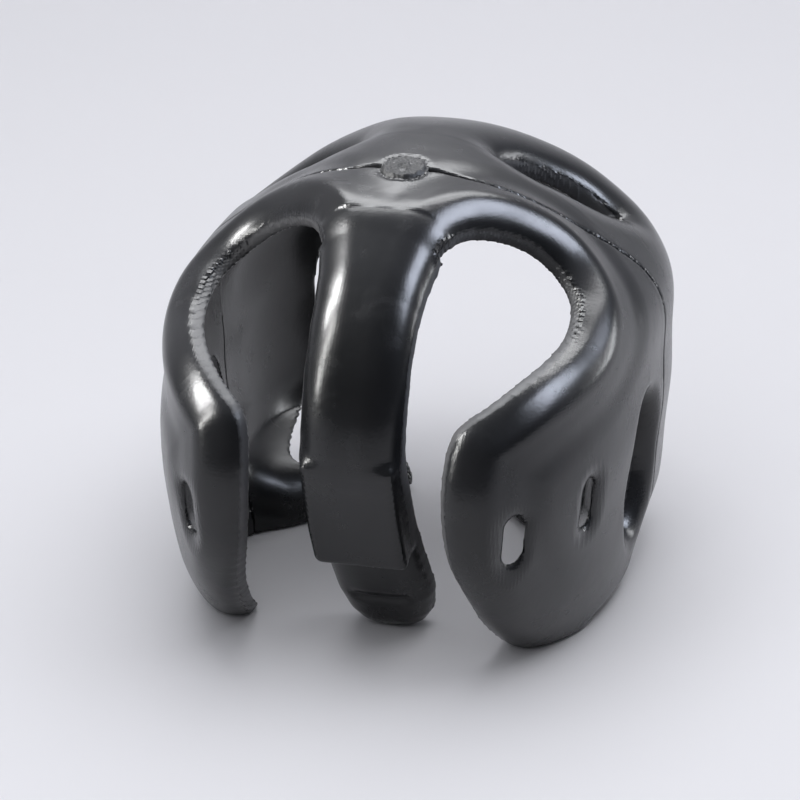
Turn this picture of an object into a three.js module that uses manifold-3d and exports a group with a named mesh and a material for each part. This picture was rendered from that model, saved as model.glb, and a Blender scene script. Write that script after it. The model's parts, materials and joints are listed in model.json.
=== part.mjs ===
// Moulded foam head guard: a one-piece dipped-foam shell for boxing and martial arts,
// split here into its foam cores, its outer and inner skins, and the sprung panels
// that the foam lets open when the guard is pulled on.
//
// Frame: millimetres, +Z up, +Y towards the face, +X to the wearer's right. The origin is on
// the floor plane the guard stands on, on the mid plane, under the middle of its length.
// Everything is mirrored about X = 0. The shapes below are drawn from a plane
// LENGTH_CENTRE in front of that origin.
import * as THREE from 'three';
import { mergeVertices } from 'three/addons/utils/BufferGeometryUtils.js';
import Module from 'manifold-3d';

// ---------------------------------------------------------------- driving dimensions
const WALL = 15;                  // full wall, skin to skin
const SKIN = 1.5;                 // vinyl skin
const GAP = 0.3;                  // clearance between neighbouring solids
const LENGTH_CENTRE = 9.2955;     // from the middle of the length to the drawing plane

// ---------------------------------------------------------------- solids
const wasm = await Module();
wasm.setup();

const vec = (x, y, z) => new THREE.Vector3(x, y, z);
const ORIGIN = vec(0, 0, 0);
const X = vec(1, 0, 0), Y = vec(0, 1, 0), Z = vec(0, 0, 1);

function solid(geometry) {
  geometry.deleteAttribute('normal');
  geometry.deleteAttribute('uv');
  const merged = mergeVertices(geometry, 1e-4);
  return new wasm.Manifold(new wasm.Mesh({
    numProp: 3,
    vertProperties: new Float32Array(merged.attributes.position.array),
    triVerts: new Uint32Array(merged.index.array),
  }));
}

function geometryOf(manifold) {
  const mesh = manifold.getMesh();
  const geometry = new THREE.BufferGeometry();
  const positions = new Float32Array(mesh.vertProperties);
  geometry.setAttribute('position', new THREE.BufferAttribute(positions, 3));
  geometry.setIndex(new THREE.BufferAttribute(new Uint32Array(mesh.triVerts), 1));
  geometry.computeVertexNormals();
  return geometry;
}

// An outline in the plane of u and v, pushed along u x v between two depths.
// The outline may run either way round.
function prism(outline, u, v, from, to, origin = ORIGIN) {
  const shape = new THREE.Shape(outline.map(([x, y]) => new THREE.Vector2(x, y)));
  const geometry = new THREE.ExtrudeGeometry(shape, {
    depth: to - from, bevelEnabled: false, steps: 1,
  });
  const along = vec().crossVectors(u, v);
  const placement = new THREE.Matrix4().makeBasis(u, v, along);
  placement.setPosition(origin.clone().addScaledVector(along, from));
  geometry.applyMatrix4(placement);
  return solid(geometry);
}

const box = ([x0, x1], [y0, y1], [z0, z1]) =>
  prism([[x0, y0], [x1, y0], [x1, y1], [x0, y1]], X, Y, z0, z1);

// An outline reflected in its first coordinate, running back the other way
const mirror = (outline) => outline.map(([x, y]) => [-x, y]).reverse();

const clamp = (value) => Math.min(Math.max(value, 0), 1);

// Smooth step from 0 to 1
function ease(value) {
  const t = clamp(value);
  return t * t * (3 - 2 * t);
}

// ---------------------------------------------------------------- shell
const AROUND = 28;                // facets round the shell
// Outer envelope: half axes of the plan, their shrinkage near the floor, and its powers
const HALF_WIDTH = 97.5914, WIDTH_TAPER = 0.0017;
const REAR = 170.935, REAR_TAPER = 0.2037, REAR_POWER = 2.6824, REAR_TAPER_POWER = 2.15;
const FRONT = 98.8535, FRONT_TAPER = 0.1162, FRONT_POWER = 2.6356;
const TAPER_TOP = 70, TAPER_HEIGHT = 60;
const SPRING_Z = 143.632;         // where the wall turns into the dome
const DOME = 54.3923, DOME_POWER = 1.5814;
const CENTRE_Y = 24.2336, CENTRE_LEAN = -0.1185;
// Soft swellings: centre height, spread, then share of radius at the sides, rear and front
const SWELLINGS = [
  [40, 30, 0.062, -0.011, 0],
  [85, 28, 0.087, 0.019, -0.001],
  [125, 24, 0.082, -0.025, -0.012],
  [160, 20, -0.116, -0.008, 0.011],
  [186, 16, -0.177, 0.026, 0.003],
];
const JAW_PINCH = 0.72, JAW_HEIGHT = 36, JAW_START_Y = 6, JAW_LENGTH = 88;
const JAW_BLEND = 9;              // softens the start of the pinch
// The wall thickens inwards along the jaw
const CHEEK_PAD = 9, CHEEK_PAD_HEIGHT = 50, CHEEK_PAD_START_Y = -8, CHEEK_PAD_RAMP = 32;
// Heights of the rings of points; the lowest is below the floor, to be trimmed off
const RING_HEIGHTS = [
  -45, 0, 13, 27, 40, 66, 92, 118, SPRING_Z,
  ...[0.2, 0.42, 0.62, 0.79, 0.91, 0.975, 0.996].map((share) => SPRING_Z + DOME * share),
];
const NORMAL_ANGLE_STEP = 0.01, NORMAL_Z_STEP = 0.25;
const NORMAL_TOP_SHARE = 0.9985;  // of the dome height, the highest point sampled
const CROWN_SHARE = 1.0005, CROWN_DROP = 0.35;   // place of the topmost point

function envelope(angle, z) {
  const cos = Math.cos(angle), sin = Math.sin(angle);
  const isRear = sin < 0;
  const height = Math.max(z, 0);
  const rise = Math.max(z - SPRING_Z, 0);
  const domeScale = z < SPRING_Z
    ? 1
    : Math.pow(Math.max(1 - Math.pow(rise / DOME, DOME_POWER), 0), 1 / DOME_POWER);
  const taper = Math.max((TAPER_TOP - height) / TAPER_HEIGHT, 0);
  const halfWidth = HALF_WIDTH * (1 - WIDTH_TAPER * taper * taper);
  const halfLength = isRear
    ? REAR * (1 - REAR_TAPER * Math.pow(taper, REAR_TAPER_POWER))
    : FRONT * (1 - FRONT_TAPER * taper * taper);
  const power = isRear ? REAR_POWER : FRONT_POWER;

  let swelling = 1;
  for (const [centreZ, spread, side, rear, front] of SWELLINGS) {
    const amount = side * cos * cos + (isRear ? rear : front) * sin * sin;
    swelling += amount * Math.exp(-(((height - centreZ) / spread) ** 2));
  }
  const reach = Math.pow(Math.abs(cos) / halfWidth, power)
    + Math.pow(Math.abs(sin) / halfLength, power);
  const radius = domeScale * swelling / Math.pow(reach, 1 / power);
  const y = radius * sin + CENTRE_Y + CENTRE_LEAN * rise;

  // the jaw line draws in towards the chin
  const ahead = y - JAW_START_Y;
  const softAhead = (Math.sqrt(ahead * ahead + JAW_BLEND * JAW_BLEND) + ahead) / 2;
  const alongJaw = Math.min(softAhead / JAW_LENGTH, 1);
  const pinch = JAW_PINCH * alongJaw * ease((JAW_HEIGHT - z) / JAW_HEIGHT);
  return vec(radius * cos * (1 - pinch), y, z);
}

// Outward normal of the envelope
function normalAt(angle, z) {
  const top = Math.min(z + NORMAL_Z_STEP, SPRING_Z + DOME * NORMAL_TOP_SHARE);
  const around = envelope(angle + NORMAL_ANGLE_STEP, z)
    .sub(envelope(angle - NORMAL_ANGLE_STEP, z));
  const upward = envelope(angle, top).sub(envelope(angle, z - NORMAL_Z_STEP));
  return around.cross(upward).normalize();
}

// Everything inside the surface that lies `depth` below the outer skin's face
function shellSolid(depth) {
  const points = [], index = [];
  const padded = depth > WALL / 2;
  for (const z of RING_HEIGHTS) {
    for (let i = 0; i < AROUND; i++) {
      const angle = ((i + 0.5) / AROUND) * Math.PI * 2;
      const point = envelope(angle, z);
      const pad = padded
        ? CHEEK_PAD * ease((point.y - CHEEK_PAD_START_Y) / CHEEK_PAD_RAMP)
          * ease((CHEEK_PAD_HEIGHT - z) / CHEEK_PAD_HEIGHT)
        : 0;
      point.addScaledVector(normalAt(angle, z), -depth - pad);
      points.push(point.x, point.y, point.z);
    }
  }
  const id = (ring, i) => ring * AROUND + (i % AROUND);
  const last = RING_HEIGHTS.length - 1;
  for (let j = 0; j < last; j++) {
    for (let i = 0; i < AROUND; i++) {
      index.push(id(j, i), id(j, i + 1), id(j + 1, i + 1));
      index.push(id(j, i), id(j + 1, i + 1), id(j + 1, i));
    }
  }
  const foot = points.length / 3;
  const crown = foot + 1;
  points.push(0, 0, RING_HEIGHTS[0]);
  points.push(0, CENTRE_Y + CENTRE_LEAN * DOME,
    SPRING_Z + DOME * CROWN_SHARE - depth - CROWN_DROP);
  for (let i = 0; i < AROUND; i++) {
    index.push(foot, id(0, i + 1), id(0, i));
    index.push(crown, id(last, i), id(last, i + 1));
  }
  const geometry = new THREE.BufferGeometry();
  geometry.setAttribute('position', new THREE.Float32BufferAttribute(points, 3));
  geometry.setIndex(index);
  return solid(geometry);
}

const aboveFloor = box([-200, 200], [-200, 200], [0, 260]);

// ---------------------------------------------------------------- openings
// Rear openings, right half: x, and distance up a plane whose top leans forward by OPEN_TILT
const OPEN_TILT = THREE.MathUtils.degToRad(30);
const OPENING = [
  [27.8, 119.1], [36.7, 125], [48.6, 125.2], [60.6, 120.4], [71.2, 109.4], [75.3, 100.1],
  [75.8, 87.8], [71, 75.1], [62.3, 62.4], [52.6, 51.3], [42.2, 41.3], [39.9, 28.9],
  [39.1, 15.3], [39.8, 2.1], [41.7, -8.9], [46.5, -20], [50.1, -27.6], [56, -33.4],
  [67, -34.4], [74.2, -31], [83.1, -24], [89.3, -16.6], [140, -16.6], [140, -120],
];
// Face opening, right half, seen along Y: x, z
const FACE = [
  [22, -20], [22, 5], [26, 12], [36, 15.5], [50, 17], [65, 18], [73, 24], [75, 34],
  [72, 46], [70, 60], [69.5, 75], [71, 92], [68, 108], [58, 122], [40, 131], [20, 135],
];
// Right top vent, seen from above: x, y
const VENT = [
  [27, 22], [31, 34], [38, 43], [47, 51], [56, 56], [66, 57],
  [74, 53.5], [67, 39], [57, 27.5], [47, 22], [37, 19.5],
];
const EAR_Y = -12.5, EAR_Z = 62, EAR_HALF_WIDTH = 19.5, EAR_HALF_HEIGHT = 31;
const EAR_FACETS = 16, EAR_CUT = [62, 140];      // range of |x| the cut covers
// Strap slots in the right side flap: x, y, z of their centres
const SLOTS = [[70, -123, 72], [92, -79.5, 72]];
const SLOT_WIDTH = 9, SLOT_HEIGHT = 20, SLOT_END_FACETS = 6;
const SLOT_AIM_Y = -35;           // the slots point straight out from here on the mid plane

function openingCut() {
  const upPlane = vec(0, Math.sin(OPEN_TILT), Math.cos(OPEN_TILT));
  const right = [...OPENING].reverse();
  const outline = [...right, [0, OPENING[0][1]], ...mirror(right)];
  return prism(outline, X, upPlane, 5, 400);
}

// X x Z points to the rear, so the depths are negative towards the face
const faceCut = () => prism([...mirror(FACE), ...FACE], X, Z, -300, -15);

function earCut() {
  const ellipse = Array.from({ length: EAR_FACETS }, (_, i) => {
    const angle = (i / EAR_FACETS) * 2 * Math.PI;
    return [EAR_Y + EAR_HALF_WIDTH * Math.cos(angle), EAR_Z + EAR_HALF_HEIGHT * Math.sin(angle)];
  });
  const [near, far] = EAR_CUT;
  return prism(ellipse, Y, Z, near, far).add(prism(ellipse, Y, Z, -far, -near));
}

const ventCut = () => prism(VENT, X, Y, 120, 230).add(prism(mirror(VENT), X, Y, 120, 230));

function slotCut([x, y, z], side) {
  const outward = vec(side * x, y, 0).sub(vec(0, SLOT_AIM_Y, 0)).normalize();
  const sideways = vec().crossVectors(Z, outward);
  const radius = SLOT_WIDTH / 2, endHeight = (SLOT_HEIGHT - SLOT_WIDTH) / 2;
  const outline = [];
  for (const end of [1, -1]) {
    for (let i = 0; i <= SLOT_END_FACETS; i++) {
      const angle = i / SLOT_END_FACETS * Math.PI;
      outline.push([end * radius * Math.cos(angle), end * (endHeight + radius * Math.sin(angle))]);
    }
  }
  return prism(outline, sideways, Z, -30, 20, vec(side * x, y, z));
}

const openings = [
  openingCut(), faceCut(), earCut(), ventCut(),
  ...[1, -1].flatMap((side) => SLOTS.map((centre) => slotCut(centre, side))),
];

// ---------------------------------------------------------------- seam
// Joint between the front and rear mouldings: a wall running straight down
const SEAM_CROWN_Y = -25, SEAM_SIDE_Y = 16;
const SEAM_BEND_X = 22, SEAM_BEND_WIDTH = 88;    // where the seam swings forward
const SEAM_END_X = 130, SEAM_STEP = 20, SEAM_FAR_Y = 250;

function seamY(x) {
  const swing = ease((Math.abs(x) - SEAM_BEND_X) / SEAM_BEND_WIDTH);
  return SEAM_CROWN_Y + (SEAM_SIDE_Y - SEAM_CROWN_Y) * swing;
}

// way: 1 in front of the seam, -1 behind it
function seamHalf(way) {
  const outline = [];
  for (let x = -SEAM_END_X; x <= SEAM_END_X; x += SEAM_STEP) {
    outline.push([x, seamY(x) + way * GAP / 2]);
  }
  outline.push([SEAM_END_X, way * SEAM_FAR_Y], [-SEAM_END_X, way * SEAM_FAR_Y]);
  return prism(outline, X, Y, -60, 260);
}

const frontHalf = seamHalf(1), rearHalf = seamHalf(-1);

// ---------------------------------------------------------------- spring hinges
// A bow-tie gap round each axis, so the panels close only at the end of their travel
const HINGE_WEDGE = THREE.MathUtils.degToRad(8.5), HINGE_GAP = 0.2;
// Flap axis: x on the right side, then y, z of its top and foot
const FLAP_AXIS_X = 89, FLAP_AXIS_TOP = [-50, 146], FLAP_AXIS_FOOT = [-4, 0];
const FLAP_TOP_Z = 158, FLAP_TOP_GAP = 1.4;
// Strip axis crosses the mid plane at y, z; the tangent runs down the strip
const STRIP_AXIS = [-58, 177], STRIP_TANGENT = [-0.88, -0.475];

// Section of all that lies to one side (way 1 or -1) of the bow-tie
function hingeSection(way, halfWidth, far) {
  const edge = way * (HINGE_GAP + halfWidth * Math.tan(HINGE_WEDGE));
  return [
    [-halfWidth, edge], [0, way * HINGE_GAP], [halfWidth, edge],
    [halfWidth, way * far], [-halfWidth, way * far],
  ];
}

// way: 1 towards the face, -1 the flap's own side
function flapHinge(side, way) {
  const [topY, topZ] = FLAP_AXIS_TOP, [footY, footZ] = FLAP_AXIS_FOOT;
  const up = vec(0, topY - footY, topZ - footZ).normalize();
  const ahead = vec(0, up.z, -up.y);
  const foot = vec(side * FLAP_AXIS_X, footY, footZ);
  return prism(hingeSection(way, 72, 330), X, ahead, -400, 400, foot);
}

function flapZone(side, near, far, top) {
  return box(side > 0 ? [near, far] : [-far, -near], [-250, 120], [-60, top]);
}

// The flap itself
const flapKeep = (side) => flapHinge(side, -1).intersect(flapZone(side, 30, 140, FLAP_TOP_Z));

// What the crown gives up for the flap and its clearance
const flapDrop = (side) =>
  flapZone(side, 20, 150, FLAP_TOP_Z + FLAP_TOP_GAP).subtract(flapHinge(side, 1));

// way: 1 down the strip, -1 towards the crown
function stripHinge(way) {
  const down = vec(0, ...STRIP_TANGENT).normalize();
  const outward = vec(0, down.z, -down.y);
  return prism(hingeSection(way, 150, 300), outward, down, -60, 60, vec(0, ...STRIP_AXIS));
}

const rightFlap = flapKeep(1), leftFlap = flapKeep(-1);
const neckDrop = box([-60, 60], [-250, -30], [120, 260]).subtract(stripHinge(-1));
const crownDrops = [neckDrop, flapDrop(1), flapDrop(-1)];

// ---------------------------------------------------------------- rear strip
// Side profile of the outer face, from the crown to the tip: y, z
const STRIP_OUTER = [
  [-40, 192], [-52, 189.6], [-65, 184.5], [-79, 176], [-92, 167], [-104, 156.5],
  [-113, 145.5], [-120, 132.5], [-124.5, 119], [-127, 106], [-125.5, 98], [-121, 88],
  [-112.5, 70], [-103.5, 54], [-95.5, 40], [-87.5, 26], [-80.5, 13], [-76, 4], [-74, -6],
];
// Right edge seen along Y, from above the crown to the tip: x, z
const STRIP_EDGE = [
  [33, 250], [32, 186], [29.5, 174], [28, 169.5], [25, 163], [22.6, 154], [21.7, 140],
  [21.7, 100], [21, 60], [21, 26], [18.5, 12], [14, 4], [8, 0],
];

// The strip's profile moved towards the head by `depth`
function stripProfile(depth) {
  return STRIP_OUTER.map(([y, z], i) => {
    const before = STRIP_OUTER[Math.max(i - 1, 0)];
    const after = STRIP_OUTER[Math.min(i + 1, STRIP_OUTER.length - 1)];
    const tangent = new THREE.Vector2(after[0] - before[0], after[1] - before[1]).normalize();
    return [y - tangent.y * depth, z + tangent.x * depth];
  });
}

const stripBounds = prism([...STRIP_EDGE, ...mirror(STRIP_EDGE)], X, Z, -60, 200)
  .intersect(stripHinge(1))
  .intersect(aboveFloor);

function stripLayer(from, to) {
  const section = [...stripProfile(from), ...stripProfile(to).reverse()];
  return prism(section, Y, Z, -60, 60).intersect(stripBounds);
}

// ---------------------------------------------------------------- nape pad
// The strap seat behind the strip, its flat face leaning in towards the neck: y, z
const PAD_TOP = [-127.4, 96.5], PAD_FOOT = [-109.2, 46.5], PAD_SILL = [-101.5, 44.5];
const PAD_HALF_WIDTH = 20;

function napePad() {
  const clear = stripProfile(-GAP);
  const pointAt = (z) => {
    const i = clear.findIndex((point) => point[1] < z);
    const [upperY, upperZ] = clear[i - 1], [lowerY, lowerZ] = clear[i];
    return [upperY + (lowerY - upperY) * (upperZ - z) / (upperZ - lowerZ), z];
  };
  const sillZ = PAD_SILL[1], topZ = PAD_TOP[1];
  const against = clear.filter(([, z]) => z > sillZ && z < topZ).reverse();
  const section = [PAD_TOP, PAD_FOOT, PAD_SILL, pointAt(sillZ), ...against, pointAt(topZ)];
  return prism(section, Y, Z, -PAD_HALF_WIDTH, PAD_HALF_WIDTH);
}

// ---------------------------------------------------------------- sprue gate
const GATE_Y = -25, GATE_TOP_Z = 194, GATE_RADIUS = 9.8, GATE_FACETS = 28;
const GATE_CAP = 2.4, GATE_PROUD = 0.6;
const GATE_TILT = 0.09;           // radians about X

// Heights are measured up from one wall thickness below GATE_TOP_Z
function gateCylinder(radius, low, high) {
  const geometry = new THREE.CylinderGeometry(radius, radius, high - low, GATE_FACETS);
  geometry.rotateX(Math.PI / 2);
  geometry.translate(0, 0, (low + high) / 2);
  geometry.rotateX(GATE_TILT);
  geometry.translate(0, GATE_Y, GATE_TOP_Z - WALL);
  return solid(geometry);
}

const gateBore = gateCylinder(GATE_RADIUS + GAP, WALL - GATE_CAP - 6, 40);
const gatePlug = () => gateCylinder(GATE_RADIUS, WALL - GATE_CAP - 5, WALL + GATE_PROUD);

// ---------------------------------------------------------------- assembly
const SKIN_LOOK = { color: 0x1b1b1f, roughness: 0.42, metalness: 0 };
const FOAM_LOOK = { color: 0x2b2b2f, roughness: 0.85, metalness: 0 };
// Name, depths of the outer and inner faces, look
const LAYERS = [
  ['outer_skin', 0, SKIN, SKIN_LOOK],
  ['foam_core', SKIN + GAP, WALL - SKIN - 2 * GAP, FOAM_LOOK],
  ['inner_skin', WALL - SKIN, WALL, SKIN_LOOK],
];

const guard = new THREE.Group(), front = new THREE.Group(), rear = new THREE.Group();
guard.add(front, rear);

function add(name, manifold, look, parent) {
  const mesh = new THREE.Mesh(geometryOf(manifold), new THREE.MeshStandardMaterial(look));
  mesh.name = name;
  parent.add(mesh);
}

const cutAll = (body, cutters) => cutters.reduce((rest, cutter) => rest.subtract(cutter), body);

for (const [layer, from, to, look] of LAYERS) {
  const blank = shellSolid(from).subtract(shellSolid(to)).intersect(aboveFloor);
  // the gate bore stops short of the inner skin
  const cutters = layer === 'inner_skin' ? openings : [...openings, gateBore];
  const wall = cutAll(blank, cutters);
  const back = wall.intersect(rearHalf);
  add(`front_${layer}`, wall.intersect(frontHalf), look, front);
  add(`crown_${layer}`, cutAll(back, crownDrops), look, rear);
  add(`right_flap_${layer}`, back.intersect(rightFlap), look, rear);
  add(`left_flap_${layer}`, back.intersect(leftFlap), look, rear);
  add(`strip_${layer}`, stripLayer(from, to), look, rear);
}
add('nape_pad', napePad(), SKIN_LOOK, rear);
// moulded over the joint at the crown
add('gate_plug', gatePlug(), SKIN_LOOK, front);

// bring the middle of the length over the origin
guard.position.y = LENGTH_CENTRE;

export default guard;
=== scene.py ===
# A one-skin foam head guard: a dome with a face opening, ear holes, crown vents, two side
# flaps, and a strip that runs down the middle of the back to a nape pad.
# +X is the wearer's right, +Y the front, +Z up. The shape is worked out in millimetres in
# a drawing frame with the floor at z = 0, sampled as a signed field on a grid (negative
# inside the material) and meshed; make() moves it to the CAD frame in metres.
import json
import math
import bmesh
import bpy
import numpy as np
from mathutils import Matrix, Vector


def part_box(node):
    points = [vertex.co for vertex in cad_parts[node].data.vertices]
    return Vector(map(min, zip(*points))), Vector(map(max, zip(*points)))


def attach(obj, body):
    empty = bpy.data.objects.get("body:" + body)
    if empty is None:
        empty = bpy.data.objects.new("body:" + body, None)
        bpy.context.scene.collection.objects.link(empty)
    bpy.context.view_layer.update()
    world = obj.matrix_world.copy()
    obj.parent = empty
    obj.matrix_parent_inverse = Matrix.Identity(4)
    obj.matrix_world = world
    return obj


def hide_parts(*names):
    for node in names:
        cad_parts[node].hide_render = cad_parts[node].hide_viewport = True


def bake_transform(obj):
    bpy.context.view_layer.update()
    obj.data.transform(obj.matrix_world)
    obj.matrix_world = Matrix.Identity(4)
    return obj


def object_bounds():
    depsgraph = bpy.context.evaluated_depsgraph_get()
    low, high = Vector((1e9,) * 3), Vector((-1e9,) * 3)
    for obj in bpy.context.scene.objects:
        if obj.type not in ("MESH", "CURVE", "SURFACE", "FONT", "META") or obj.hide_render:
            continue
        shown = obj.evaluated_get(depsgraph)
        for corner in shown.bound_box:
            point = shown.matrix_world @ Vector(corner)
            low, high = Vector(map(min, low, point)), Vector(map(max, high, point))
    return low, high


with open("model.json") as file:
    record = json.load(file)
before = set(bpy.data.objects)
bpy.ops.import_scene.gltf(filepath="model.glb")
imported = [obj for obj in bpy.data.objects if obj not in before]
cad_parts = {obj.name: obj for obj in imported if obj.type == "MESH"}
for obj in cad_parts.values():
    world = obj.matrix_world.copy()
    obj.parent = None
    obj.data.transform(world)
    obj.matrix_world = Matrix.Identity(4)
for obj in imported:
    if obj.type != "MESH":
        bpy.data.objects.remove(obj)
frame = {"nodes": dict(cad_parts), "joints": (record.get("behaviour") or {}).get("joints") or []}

CAD_BOX = [list(v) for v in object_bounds()]
for node in frame["nodes"].values():
    node.hide_render = True

SHIFT = np.array([0.0, CAD_BOX[0][1] + 0.141446, 0.0])   # drawing frame to CAD frame, metres
STEP = 1.25                       # grid step
WALL = 15.0                                              # wall thickness

# ------------------------------------------------------------------ sizes, mm
# Envelope: superellipse plan sections under a dome, easing in towards the floor
HALF_WIDTH, WIDTH_TAPER = 97.5907, 0.0025
REAR_REACH, REAR_TAPER, REAR_POWER = 170.935, 0.2042, 2.6821
FRONT_REACH, FRONT_TAPER, FRONT_POWER = 98.8536, 0.1164, 2.636
DOME_Z, DOME_HEIGHT, DOME_POWER = 143.632, 54.392, 1.581
MIDDLE_Y, MIDDLE_DRIFT = 24.234, -0.1191                 # y of the widest place, drift with height
# Local swellings: height, spread, share at the sides, at the rear, at the front
SWELL = ((40, 30, 0.062, -0.011, -0.0), (85, 28, 0.087, 0.019, -0.001),
         (125, 24, 0.082, -0.025, -0.012), (160, 20, -0.116, -0.008, 0.011),
         (186, 16, -0.177, 0.026, 0.003))

# Rear openings are drawn on a plane tilted by 30 degrees
TILT = math.radians(30)
TILTED_UP = np.array([0, math.sin(TILT), math.cos(TILT)])
TILTED_BACK = np.array([0, -math.cos(TILT), math.sin(TILT)])
# Rear opening, right side: x, place along TILTED_UP
OPENING = [[27.8, 119.1], [31.2, 122.8], [36.7, 125], [48.6, 125.2], [60.6, 120.4],
           [71.2, 109.4], [75.3, 100.1], [75.8, 87.8], [71, 75.1], [62.3, 62.4],
           [52.6, 51.3], [42.6, 41.3], [39.9, 28.9], [39.1, 15.3], [39.8, 2.1],
           [41.7, -8.9], [46.5, -20], [50.1, -27.6], [57, -33.0], [66.5, -34.2],
           [74.2, -31], [83.1, -24], [90.5, -16.8]]
# Edge of the opening beside the strip, same columns
STRIP_EDGE = [[21.0, -40], [21.3, 0], [21.7, 31.4], [21.7, 50.4], [22.0, 71], [23.0, 92],
              [25.2, 108]]
# Face opening, right half, bottom to top: x, z
FACE = [[22, -20], [22, 4], [26, 12], [36, 15.5], [50, 17], [65, 18], [73, 24], [75, 34],
        [72, 46], [70, 60], [69.5, 75], [71, 92], [68, 108], [58, 122], [40, 131], [20, 135],
        [0, 136.5]]
EAR_Y, EAR_Z, EAR_HALF_Y, EAR_HALF_Z = -12.5, 62.0, 19.5, 31.0
# Crown vent, right side: x, y
VENT = [[27, 22], [31, 34], [38, 43], [47, 51], [56, 56], [66, 57], [74, 53.5], [67, 42],
        [57, 32], [47, 26], [37, 21.5]]
FLOOR_EDGE_Z = 0.5                                       # lower edge of the shell
SLOTS = [(70, -123, 72), (92, -79.5, 72)]                # strap slot centres, right side
SLOT_AXES_Y = -35.0                                      # slots face away from x = 0, this y
SLOT_RADIUS, SLOT_HALF_STRAIGHT = 5.2, 5.8
# Outer side profile of the rear strip, crown to floor: y, z
STRIP_OUTER = [[-28, 194], [-40, 192], [-52, 189.6], [-65, 184.5], [-79, 176], [-92, 167],
               [-104, 156.5], [-113, 145.5], [-120, 132.5], [-124.6, 119], [-126.9, 107],
               [-127.4, 99], [-125.4, 91], [-121.5, 84.5], [-112.5, 70], [-103.5, 54],
               [-95.5, 40], [-87.5, 26], [-80.5, 13], [-76, 4], [-74, -6], [-73, -20]]
# Strip outline: z, half width
STRIP_WIDTH = np.array([[-10, 0], [0.0, 0.0], [0.6, 6], [2, 10.5], [5, 14.5], [12, 18.6],
                        [24, 21.2], [40, 21.2], [60, 21.2], [100, 21.7], [140, 21.7],
                        [150, 22.2], [158, 23.4], [164, 25.2], [168, 26.8], [170.6, 29.0],
                        [172, 33], [173, 40], [174.5, 70], [230, 90]])
STRIP_LEAN, LEAN_FROM_Z = 5.0, 75                        # sideways lean of the strip's foot
SEAM_CROWN_Y, SEAM_SIDE_Y = -25.0, 16.0                  # seam between the two mouldings
# How far in from each edge the outer face starts to round over
ROUND_MAIN, ROUND_FLOOR, ROUND_EAR, ROUND_VENT = 17.0, 13.0, 8.0, 20.0
# Nape pad: outer face ends (y, z), half width, depth, corner radius, blend with the strip
PAD_TOP, PAD_FOOT = np.array([-127.6, 98.5]), np.array([-109.2, 46.0])
PAD_HALF_WIDTH, PAD_DEPTH, PAD_CORNER, PAD_BLEND = 19.9, 17.0, 3.4, 3.2
plug_low, plug_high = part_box("gate_plug")
PLUG_X = (plug_low[0] + plug_high[0]) / 2 * 1000
PLUG_Y = ((plug_low[1] + plug_high[1]) / 2 - SHIFT[1]) * 1000
PLUG_RADIUS, PLUG_DEPTH = 9.9, 2.2


# ------------------------------------------------------------------ small maths
def smooth(t):
    t = np.clip(t, 0, 1)
    return t * t * (3 - 2 * t)


def bell(value, centre, width):
    return np.exp(-((value - centre) / width) ** 2)


def smooth_max(a, b, blend):
    h = np.clip(0.5 - 0.5 * (b - a) / blend, 0, 1)
    return b + (a - b) * h + blend * h * (1 - h)


def unit(v):
    return v / np.linalg.norm(v)


def seam_y(x):
    return SEAM_CROWN_Y + (SEAM_SIDE_Y - SEAM_CROWN_Y) * smooth((np.abs(x) - 22) / 88)


def strip_lean(z):
    return STRIP_LEAN * smooth((LEAN_FROM_Z - z) / LEAN_FROM_Z)


def strip_half_width(z):
    return np.interp(z, STRIP_WIDTH[:, 0], STRIP_WIDTH[:, 1])


def catmull(points, step, closed=False):
    """Catmull-Rom curve through the points, about one sample per step."""
    P = np.asarray(points, float)
    n = len(P)
    out = []
    for i in range(n if closed else n - 1):
        if closed:
            p0, p1, p2, p3 = P[(i - 1) % n], P[i], P[(i + 1) % n], P[(i + 2) % n]
        else:
            p0, p1, p2, p3 = P[max(i - 1, 0)], P[i], P[i + 1], P[min(i + 2, n - 1)]
        k = max(int(np.linalg.norm(p2 - p1) / step), 1)
        t = (np.arange(k) / k)[:, None]
        out.append(0.5 * (2 * p1 + (p2 - p0) * t + (2 * p0 - 5 * p1 + 4 * p2 - p3) * t ** 2
                          + (3 * p1 - p0 - 3 * p2 + p3) * t ** 3))
    if not closed:
        out.append(P[-1:])
    return np.concatenate(out)


def inside(polygon, x, y):
    """Even-odd test for many points."""
    result = np.zeros(x.shape, bool)
    for (x1, y1), (x2, y2) in zip(polygon, np.roll(polygon, -1, axis=0)):
        if y1 == y2:
            continue
        spans = (y1 > y) != (y2 > y)
        result ^= spans & (x < (x2 - x1) * (y - y1) / (y2 - y1) + x1)
    return result


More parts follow.
